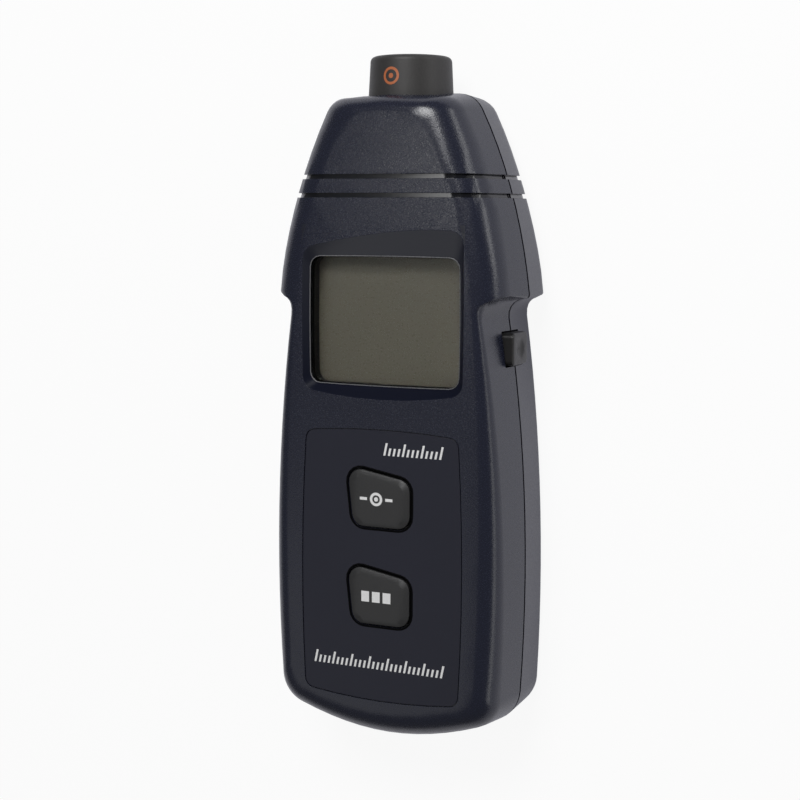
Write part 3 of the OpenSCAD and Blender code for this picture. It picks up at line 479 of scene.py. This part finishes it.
def moulded(name, colour, roughness, grain, depth, specular):
    """Moulded plastic: a spark-eroded grain, a slow drift of tone and edges that catch light."""
    material, tree, shader = new_material(name)
    slow = noise(tree, DRIFT_SIZE)
    fine = noise(tree, grain, detail=3.0)
    tone = blend_colours(tree, slow, shade(colour, 1 - TONE_DRIFT), shade(colour, 1 + TONE_DRIFT))
    pits = spread(tree, fine, 0.0, 1.0)
    skin = blend_colours(tree, pits, shade(colour, PIT_SHADE), tone)
    satin = spread(tree, fine, roughness - ROUGHNESS_DRIFT, roughness + ROUGHNESS_DRIFT)
    relief = bump(tree, fine, depth)
    fill(tree, shader, Base_Color=skin, Specular_IOR_Level=specular, Roughness=satin, Normal=relief)
    return material


def metal(name, colour, roughness, stretch):
    """Plated or turned metal with fine tool marks."""
    material, tree, shader = new_material(name)
    marks = noise(tree, TOOL_MARK, stretch=stretch)
    skin = blend_colours(tree, marks, shade(colour, METAL_DARK), shade(colour, METAL_LIGHT))
    satin = spread(tree, marks, roughness - METAL_ROUGHNESS_DRIFT, roughness + METAL_ROUGHNESS_DRIFT)
    relief = bump(tree, marks, TOOL_DEPTH)
    fill(tree, shader, Base_Color=skin, Metallic=1.0, Roughness=satin, Normal=relief)
    return material


def clear_window():
    """Clear acrylic with the faintest haze."""
    material, tree, shader = new_material("clear_window")
    haze = spread(tree, noise(tree, COVER_HAZE), *COVER_ROUGHNESS)
    fill(tree, shader, Base_Color=opaque(CLEAR), Roughness=haze, Transmission_Weight=1.0, IOR=COVER_IOR)
    return material


def display_cell():
    """The blank display: an olive reflector behind glass, with painted light towards its lower edge and
    painted shade towards its upper one.
    """
    material, tree, shader = new_material("display_cell")
    low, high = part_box("lcd_glass")
    # Painted light and shade: lighter towards the lower edge, darker towards the upper one
    painted_light_rise = spread(tree, separate_place(tree).outputs["Y"], 0.0, 1.0, low.y, high.y)
    fine = noise(tree, CELL_GRAIN)
    lower, upper = shade(CELL_OLIVE, CELL_LOWER_PAINTED_LIGHT), shade(CELL_OLIVE, CELL_UPPER_PAINTED_SHADE)
    tone = blend_colours(tree, painted_light_rise, lower, upper)
    skin = blend_colours(tree, fine, shade(CELL_OLIVE, CELL_PIT_SHADE), tone)
    satin = spread(tree, fine, *CELL_ROUGHNESS)
    fill(tree, shader, Base_Color=skin, Roughness=satin)
    return material


def tinted_lens():
    """Red filter glass."""
    material, tree, shader = new_material("lens")
    streak = spread(tree, noise(tree, LENS_STREAK, detail=1.0), *LENS_ROUGHNESS)
    fill(tree, shader, Base_Color=opaque(LENS_RED), Roughness=streak, Transmission_Weight=LENS_TRANSMISSION)
    return material


def circuit_board():
    """Solder mask over a grid of copper tracks."""
    material, tree, shader = new_material("circuit_board")
    grid = add(tree, "ShaderNodeTexBrick", Vector=place(tree), Scale=1.0 / TRACK_PITCH)
    fill(tree, grid, Mortar_Size=TRACK_SHARE)
    tracks = grid.outputs["Fac"]
    mask = noise(tree, MASK_SIZE)
    tone = blend_colours(tree, mask, BOARD_DARK, BOARD_LIGHT)
    skin = blend_colours(tree, tracks, tone, TRACK_GREEN)
    satin = spread(tree, mask, *MASK_ROUGHNESS)
    fill(tree, shader, Base_Color=skin, Roughness=satin, Normal=bump(tree, tracks, TRACK_DEPTH))
    return material


def battery_case():
    """The battery's plain jacket: a dark field with a coloured band at its contact end."""
    material, tree, shader = new_material("battery_case")
    band_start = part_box("battery")[1].y - JACKET_BAND
    along = separate_place(tree).outputs["Y"]
    band = spread(tree, along, 0.0, 1.0, band_start - JACKET_BLEND, band_start)
    scuffs = noise(tree, SCUFF_SIZE, detail=4.0, stretch=SCUFF_STRETCH)
    field = blend_colours(tree, band, JACKET_DARK, JACKET_COPPER)
    skin = blend_colours(tree, spread(tree, scuffs, *SCUFF_STRENGTH), field, SCUFF_GREY)
    satin = spread(tree, scuffs, *JACKET_ROUGHNESS)
    relief = bump(tree, scuffs, SCUFF_DEPTH, JACKET_EDGE)
    fill(tree, shader, Base_Color=skin, Roughness=satin, Normal=relief)
    return material


def printed_ink(name, colour):
    """Screen-printed ink, a little uneven."""
    material, tree, shader = new_material(name)
    screen = noise(tree, INK_GRAIN)
    skin = blend_colours(tree, screen, shade(colour, INK_DARK), shade(colour, INK_LIGHT))
    fill(tree, shader, Base_Color=skin, Roughness=spread(tree, screen, *INK_ROUGHNESS))
    return material


# Shells: roughness, depth of the grain, specular level, and where shade is painted on them
SHELLS = {
    "front_plastic": (0.25, 0.032 * MM, 0.50, front_painted_shade),
    "rear_plastic": (0.32, 0.030 * MM, 0.62, rear_painted_shade),
}

# Moulded finishes: colour, roughness, size and depth of the grain, specular level
MOULDED = {
    "panel_sheet": (PANEL_NAVY, 0.42, 0.30 * MM, 0.010 * MM, 0.42),
    "black_plastic": (BLACK, 0.50, 0.40 * MM, 0.020 * MM, 0.50),
    "contact_rubber": (CONTACT_PINK, 0.70, 0.20 * MM, 0.020 * MM, 0.50),
    "capacitor_sleeve": (SLEEVE_BLUE, 0.30, 0.60 * MM, 0.010 * MM, 0.50),
    "nose_plastic": (NOSE_GREY, 0.50, 0.36 * MM, 0.035 * MM, 0.40),
    "dark_gloss": (EPOXY_DARK, 0.12, 0.50 * MM, 0.004 * MM, 0.50),
    "ribbon": (FILM_AMBER, 0.30, 0.80 * MM, 0.010 * MM, 0.50),
    "lead_rubber": (WIRE_RED, 0.45, 0.40 * MM, 0.020 * MM, 0.50),
    "key_plastic": (KEY_GREY, 0.42, 0.30 * MM, 0.014 * MM, 0.50),
    # Painted shade, for the rings around the keys and the band inside the cover's edges
    "painted_shade_black": (SHADE_BLACK, 0.80, 0.40 * MM, 0.010 * MM, 0.05),
    # Painted highlight on the window's lip
    "lip_highlight": (LIP_HIGHLIGHT_GREY, 0.28, 0.30 * MM, 0.005 * MM, 0.50),
    "button_plastic": (BUTTON_GREY, 0.34, 0.30 * MM, 0.012 * MM, 0.31),
}

# Metals: colour, roughness, and how much the tool marks are squeezed along each axis
METALS = {
    "bare_metal": (PLATED_GREY, 0.32, (1.0, 1.0, 4.0)),
    "laser_brass": (BRASS, 0.30, (1.0, 6.0, 1.0)),
}

FINISHES = {
    **{name: shell_plastic(name, *values) for name, values in SHELLS.items()},
    **{name: moulded(name, *values) for name, values in MOULDED.items()},
    **{name: metal(name, *values) for name, values in METALS.items()},
    "clear_window": clear_window(),
    "display_cell": display_cell(),
    "lens": tinted_lens(),
    "circuit_board": circuit_board(),
    "battery_case": battery_case(),
}
WHITE_INK = printed_ink("white_ink", PRINT_WHITE)
ORANGE_INK = printed_ink("orange_ink", PRINT_ORANGE)


# CAD solids: their finish and smooth shading

def compared(group, operation, value, limit):
    """A field that compares a value with a limit."""
    made = group.nodes.new("FunctionNodeCompare")
    made.operation = operation
    made.inputs[1].default_value = limit
    group.links.new(value, made.inputs[0])
    return made.outputs[0]


def joined(group, operation, first, second):
    """One operation on two true or false fields."""
    made = group.nodes.new("FunctionNodeBooleanMath")
    made.operation = operation
    group.links.new(first, made.inputs[0])
    group.links.new(second, made.inputs[1])
    return made.outputs[0]


def bezel_rim(group, angle):
    """True on the edges where the flat face breaks into the scooped bezel."""
    face = top_of("front_shell")
    spot = group.nodes.new("ShaderNodeSeparateXYZ")
    group.links.new(group.nodes.new("GeometryNodeInputPosition").outputs[0], spot.inputs[0])
    bent = compared(group, "GREATER_THAN", angle, RIM_ANGLE)
    on_face = compared(group, "GREATER_THAN", spot.outputs[2], face - WELD_DISTANCE)
    rim = joined(group, "AND", bent, on_face)
    for coordinate, (least, most) in zip(spot.outputs[:2], scoop_reach()):
        rim = joined(group, "AND", rim, compared(group, "GREATER_THAN", coordinate, least))
        rim = joined(group, "AND", rim, compared(group, "LESS_THAN", coordinate, most))
    return rim


def smoothing_group(name, rim=None):
    """Geometry nodes that shade faces smooth, and keep a rim and edges over SMOOTH_ANGLE sharp."""
    group = bpy.data.node_groups.new(name, "GeometryNodeTree")
    group.interface.new_socket("Geometry", in_out="INPUT", socket_type="NodeSocketGeometry")
    group.interface.new_socket("Geometry", in_out="OUTPUT", socket_type="NodeSocketGeometry")
    source = group.nodes.new("NodeGroupInput")
    result = group.nodes.new("NodeGroupOutput")
    faces = group.nodes.new("GeometryNodeSetShadeSmooth")
    faces.domain = "FACE"
    edges = group.nodes.new("GeometryNodeSetShadeSmooth")
    edges.domain = "EDGE"
    angle = group.nodes.new("GeometryNodeInputMeshEdgeAngle").outputs[0]
    gentle = compared(group, "LESS_THAN", angle, SMOOTH_ANGLE)
    if rim:
        gentle = joined(group, "NIMPLY", gentle, rim(group, angle))
    group.links.new(source.outputs[0], faces.inputs["Geometry"])
    group.links.new(faces.outputs[0], edges.inputs["Geometry"])
    group.links.new(gentle, edges.inputs["Shade Smooth"])
    group.links.new(edges.outputs[0], result.inputs[0])
    return group


def dress(solid, finish, smoothing):
    """Gives a CAD solid its finish and shading."""
    solid.data.materials.clear()
    solid.data.materials.append(finish)
    solid.modifiers.new("weld", "WELD").merge_threshold = WELD_DISTANCE
    solid.modifiers.new("smooth", "NODES").node_group = smoothing
    flat = solid.modifiers.new("flat_faces", "WEIGHTED_NORMAL")
    flat.keep_sharp = True
    flat.weight = FLAT_WEIGHT


def dress_all():
    """Dresses every node in its slot's finish; the front shell also keeps its bezel's rim sharp."""
    smoothing = smoothing_group("smooth_by_angle")
    bezel_smoothing = smoothing_group("smooth_but_bezel", bezel_rim)
    for part in frame["record"]["subparts"]:
        node = part["node"]
        finish = FINISHES[part["material_slot"]]
        dress(NODES[node], finish, bezel_smoothing if node == "front_shell" else smoothing)


# Added pieces

def new_piece(name, points, faces, finish, body):
    """A mesh piece that rides on a body, in a given finish."""
    mesh = bpy.data.meshes.new(name)
    mesh.from_pydata(points, [], faces)
    mesh.materials.append(finish)
    piece = bpy.data.objects.new(name, mesh)
    bpy.context.scene.collection.objects.link(piece)
    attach(piece, body)
    return piece


# Printed marks

def bar(low, high, slant=0.0):
    """Outline of an upright bar between two corners, leaning by slant."""
    lean = math.tan(slant) * (high[1] - low[1])
    return [(low[0], low[1]), (high[0], low[1]), (high[0] + lean, high[1]), (low[0] + lean, high[1])]


def centred_bar(x, y, half):
    """Outline of an upright bar around a middle, by half its width and height."""
    return bar((x - half[0], y - half[1]), (x + half[0], y + half[1]))


def circle(centre, radius):
    """Outline of a disc."""
    turns = [2 * math.pi * k / RING_STEPS for k in range(RING_STEPS)]
    return [(centre[0] + radius * math.cos(turn), centre[1] + radius * math.sin(turn)) for turn in turns]


def ring(centre, radius, width):
    """Outlines of a ring, as quads from the outer circle to the inner one."""
    outer = circle(centre, radius)
    inner = circle(centre, radius - width)
    return [
        [outer[k], outer[(k + 1) % RING_STEPS], inner[(k + 1) % RING_STEPS], inner[k]]
        for k in range(RING_STEPS)]


def ticks(left, right, base, count):
    """A plain scale: slanted ticks, with the major ones at full height."""
    pitch = (right - left - TICK_WIDTH) / (count - 1)
    outlines = []
    for k in range(count):
        x = left + k * pitch
        share = MINOR_SHARE if k % TICKS_PER_MAJOR else 1.0
        outlines.append(bar((x, base), (x + TICK_WIDTH, base + TICK_HEIGHT * share), TICK_SLANT))
    return outlines


def printed(name, outlines, place_point, ink, body):
    """Thin printed shapes: each outline is laid on a surface by place_point(x, y, lift)."""
    points, faces = [], []
    for outline in outlines:
        first = len(points)
        n = len(outline)
        for lift in (-PRINT_THICKNESS, PRINT_THICKNESS):
            points += [place_point(x, y, lift) for x, y in outline]
        faces.append([first + i for i in reversed(range(n))])
        faces.append([first + n + i for i in range(n)])
        for i in range(n):
            following = (i + 1) % n
            faces.append([first + i, first + following, first + n + following, first + n + i])
    piece = new_piece(name, points, faces, ink, body)
    piece.modifiers.new("weld", "WELD").merge_threshold = WELD_DISTANCE


def on_height(z):
    """Lays a flat mark at height z."""
    return lambda x, y, lift: (x, y, z + lift)


def key_mark_place(key):
    """Where a key's mark goes: its middle, a little to the left, and the height of its top."""
    x, y = middle_of(key)
    return x + KEY_MARK_SHIFT, y, top_of(key)


def upper_key_mark():
    """A ring with a dot, between two dashes."""
    x, y, top = key_mark_place("read_key")
    target = ring((x, y), TARGET_RADIUS, TARGET_WIDTH) + [circle((x, y), TARGET_DOT)]
    dashes = [centred_bar(x + offset, y, DASH_HALF) for offset in (-DASH_OFFSET, DASH_OFFSET)]
    printed("upper_key_mark", target + dashes, on_height(top), WHITE_INK, "upper_key")


def lower_key_mark():
    """Three cells in a row."""
    x, y, top = key_mark_place("mem_key")
    cells = [centred_bar(x + offset, y, CELL_HALF) for offset in (-CELL_PITCH, 0.0, CELL_PITCH)]
    printed("lower_key_mark", cells, on_height(top), WHITE_INK, "lower_key")


def panel_scales():
    """The two plain scales on the panel's sheet."""
    sheet = top_of("face_plate")
    for name, measures in SCALES.items():
        printed(name, ticks(*measures), on_height(sheet), WHITE_INK, "housing")


def nose_rims(axis):
    """Largest radius of the nose tube at each place along it where the solid has points."""
    rims = {}
    for vertex in NODES["nose_tube"].data.vertices:
        y = round(vertex.co.y, RIM_DIGITS)
        rims[y] = max(rims.get(y, 0.0), math.hypot(vertex.co.x, vertex.co.z - axis))
    return rims


def taper_radius(rims, y):
    """Outer radius of the nose's taper at a place between two of its rims."""
    head_end = max(rim for rim in rims if rim < y)
    tip_end = min(rim for rim in rims if rim >= y)
    share = (y - head_end) / (tip_end - head_end)
    return rims[head_end] + (rims[tip_end] - rims[head_end]) * share


def nose_mark():
    """An orange ring with a dot, wrapped on the nose tube."""
    low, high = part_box("nose_tube")
    axis = (low.z + high.z) / 2
    rims = nose_rims(axis)

    def on_nose(x, y, lift):
        radius = taper_radius(rims, NOSE_MARK_Y + y) + lift
        turn = (NOSE_MARK_X + x) / radius
        return (radius * math.sin(turn), NOSE_MARK_Y + y, axis + radius * math.cos(turn))

    mark = ring((0, 0), NOSE_MARK_RADIUS, NOSE_MARK_WIDTH) + [circle((0, 0), NOSE_MARK_DOT)]
    printed("nose_mark", mark, on_nose, ORANGE_INK, "housing")


# Lip with a painted highlight, and bands and rings of painted shade

def top_loop(node, middle, reach):
    """Points of a solid's top edge around a middle, in order, no further away than reach."""
    top = top_of(node)
    found = {}
    for vertex in NODES[node].data.vertices:
        x, y, z = vertex.co
        if abs(z - top) < WELD_DISTANCE and math.hypot(x - middle[0], y - middle[1]) < reach:
            point = (round(x, POINT_DIGITS), round(y, POINT_DIGITS))
            found[point] = math.atan2(y - middle[1], x - middle[0])
    return sorted(found, key=found.get)


def window_loop():
    """Points of the clear cover's top edge."""
    low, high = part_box("display_window")
    return top_loop("display_window", middle_of("display_window"), high.y - low.y)


def grown(loop, distance):
    """A closed path, anticlockwise, moved outwards by distance."""
    moved = []
    for k, (x, y) in enumerate(loop):
        back, ahead = loop[k - 1], loop[(k + 1) % len(loop)]
        run = Vector((ahead[0] - back[0], ahead[1] - back[1])).normalized()
        moved.append((x + run.y * distance, y - run.x * distance))
    return moved


def ring_faces(count, steps):
    """Quads of a closed tube with steps points around its section."""
    return [
        (k * steps + s, ((k + 1) % count) * steps + s,
         ((k + 1) % count) * steps + (s + 1) % steps, k * steps + (s + 1) % steps)
        for k in range(count) for s in range(steps)]


def closed_tube(name, lines, finish):
    """A closed tube on the housing, from the lines that run along it: each has a path and a height."""
    count = len(lines[0][0])
    points = [(*path[k], height) for k in range(count) for path, height in lines]
    piece = new_piece(name, points, ring_faces(count, len(lines)), FINISHES[finish], "housing")
    piece.data.shade_smooth()


def window_lip():
    """The fine rounded lip that the bezel has around the window, light grey as a painted highlight."""
    loop = window_loop()
    height = top_of("display_window") + LIP_RISE
    turns = [2 * math.pi * s / LIP_STEPS for s in range(LIP_STEPS)]
    lines = [
        (grown(loop, LIP_OUT + LIP_RADIUS * math.cos(turn)), height + LIP_RADIUS * math.sin(turn))
        for turn in turns]
    closed_tube("window_lip", lines, "lip_highlight")


def shade_band(name, outer, inner, top_side, low_side):
    """A black band of painted shade, of rectangular section between two paths and two heights."""
    lines = [(outer, top_side), (inner, top_side), (inner, low_side), (outer, low_side)]
    closed_tube(name, lines, "painted_shade_black")


def window_edge_shade():
    """A black band of painted shade on the clear cover's edges, just inside them."""
    low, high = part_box("display_window")
    loop = window_loop()
    outer, inner = grown(loop, -EDGE_INSET), grown(loop, -2 * EDGE_INSET)
    shade_band("window_edge_shade", outer, inner, high.z - EDGE_DROP, low.z + EDGE_DROP)


def key_shade_ring(name, key):
    """A thin black ring of painted shade around a key's opening, on the panel's sheet."""
    loop = top_loop("face_plate", middle_of(key), SHADE_RING_REACH)
    outer, inner = grown(loop, SHADE_RING_OUT), grown(loop, -SHADE_RING_IN)
    sheet = top_of("face_plate")
    shade_band(name, outer, inner, sheet + PRINT_THICKNESS, sheet - PRINT_THICKNESS)


# Studio

def background_factor(tree):
    """How white the floor is: to the camera, also through glass, and in reflections."""
    path = tree.nodes.new("ShaderNodeLightPath")
    seen = math_node(tree, "MAXIMUM", path.outputs["Is Camera Ray"], path.outputs["Is Transmission Ray"])
    straight = math_node(tree, "MULTIPLY", seen, FLOOR_WHITE)
    mirrored = math_node(tree, "MULTIPLY", path.outputs["Is Glossy Ray"], FLOOR_MIRRORED)
    return math_node(tree, "MAXIMUM", straight, mirrored)


def floor_paper():
    """Pale paper that keeps the shadow, near white to the camera and a little cool in reflections."""
    material = bpy.data.materials.new("floor")
    material.use_nodes = True
    tree = material.node_tree
    tree.nodes.clear()
    out = tree.nodes.new("ShaderNodeOutputMaterial")
    paper = add(tree, "ShaderNodeBsdfDiffuse", Color=opaque(FLOOR_PAPER))
    reflected = tree.nodes.new("ShaderNodeLightPath").outputs["Is Glossy Ray"]
    tint = blend_colours(tree, reflected, WHITE, MIRROR_TINT)
    white = add(tree, "ShaderNodeEmission", Color=tint, Strength=1.0)
    mixed = tree.nodes.new("ShaderNodeMixShader")
    tree.links.new(background_factor(tree), mixed.inputs[0])
    tree.links.new(paper.outputs[0], mixed.inputs[1])
    tree.links.new(white.outputs[0], mixed.inputs[2])
    tree.links.new(mixed.outputs[0], out.inputs["Surface"])
    return material


def floor():
    """A plain square floor just below the object."""
    half = FLOOR_SIZE / 2
    corners = [(x * half, y * half, -FLOOR_DROP) for x, y in ((-1, -1), (1, -1), (1, 1), (-1, 1))]
    mesh = bpy.data.meshes.new("floor")
    mesh.from_pydata(corners, [], [(0, 1, 2, 3)])
    mesh.materials.append(floor_paper())
    plane = bpy.data.objects.new("floor", mesh)
    bpy.context.scene.collection.objects.link(plane)


def world():
    """A white surround, full to the camera and weak as a light."""
    scene = bpy.context.scene
    scene.world = bpy.data.worlds.new("studio")
    scene.world.use_nodes = True
    tree = scene.world.node_tree
    tree.nodes.clear()
    out = tree.nodes.new("ShaderNodeOutputWorld")
    seen = tree.nodes.new("ShaderNodeLightPath").outputs["Is Camera Ray"]
    strength = add(tree, "ShaderNodeMapRange", Value=seen, To_Min=WORLD_STRENGTH, To_Max=1.0)
    back = add(tree, "ShaderNodeBackground", Color=opaque(WHITE), Strength=strength.outputs[0])
    tree.links.new(back.outputs[0], out.inputs["Surface"])


def softbox(name, spot, aim, size, power):
    """A rectangular area light at spot, aimed at a point; size is its length along Y and its width."""
    lamp = bpy.data.lights.new(name, "AREA")
    lamp.shape = "RECTANGLE"
    lamp.size, lamp.size_y = size
    lamp.energy = power
    holder = bpy.data.objects.new(name, lamp)
    back = (Vector(spot) - Vector(aim)).normalized()
    length = (Vector((0, 1, 0)) - back * back.y).normalized()
    turn = Matrix((length, back.cross(length), back)).transposed().to_4x4()
    holder.matrix_world = Matrix.Translation(spot) @ turn
    bpy.context.scene.collection.objects.link(holder)


def camera():
    """The camera at the photograph's angle, distance and lens."""
    yaw, pitch, roll = CAMERA_YAW, CAMERA_PITCH, CAMERA_ROLL
    across = Vector((math.cos(yaw), 0, -math.sin(yaw)))
    up = Vector((-math.sin(yaw) * math.sin(pitch), math.cos(pitch), -math.cos(yaw) * math.sin(pitch)))
    back = across.cross(up)
    right = across * math.cos(roll) - up * math.sin(roll)
    top = across * math.sin(roll) + up * math.cos(roll)
    data = bpy.data.cameras.new("camera")
    data.lens = CAMERA_LENS
    data.sensor_width = CAMERA_SENSOR
    data.clip_start = CAMERA_CLIP
    holder = bpy.data.objects.new("camera", data)
    turn = Matrix((right, top, back)).transposed().to_4x4()
    holder.matrix_world = Matrix.Translation(CAMERA_TARGET + back * CAMERA_DISTANCE) @ turn
    bpy.context.scene.collection.objects.link(holder)
    bpy.context.scene.camera = holder


dress_all()
upper_key_mark()
lower_key_mark()
panel_scales()
nose_mark()
window_lip()
# Band of painted shade inside the cover's edges
window_edge_shade()
# Rings of painted shade around the keys
key_shade_ring("upper_key_shade", "read_key")
key_shade_ring("lower_key_shade", "mem_key")
floor()
world()
for light_name, light_values in LIGHTS.items():
    softbox(light_name, *light_values)
camera()
bpy.context.scene.view_settings.view_transform = "Standard"
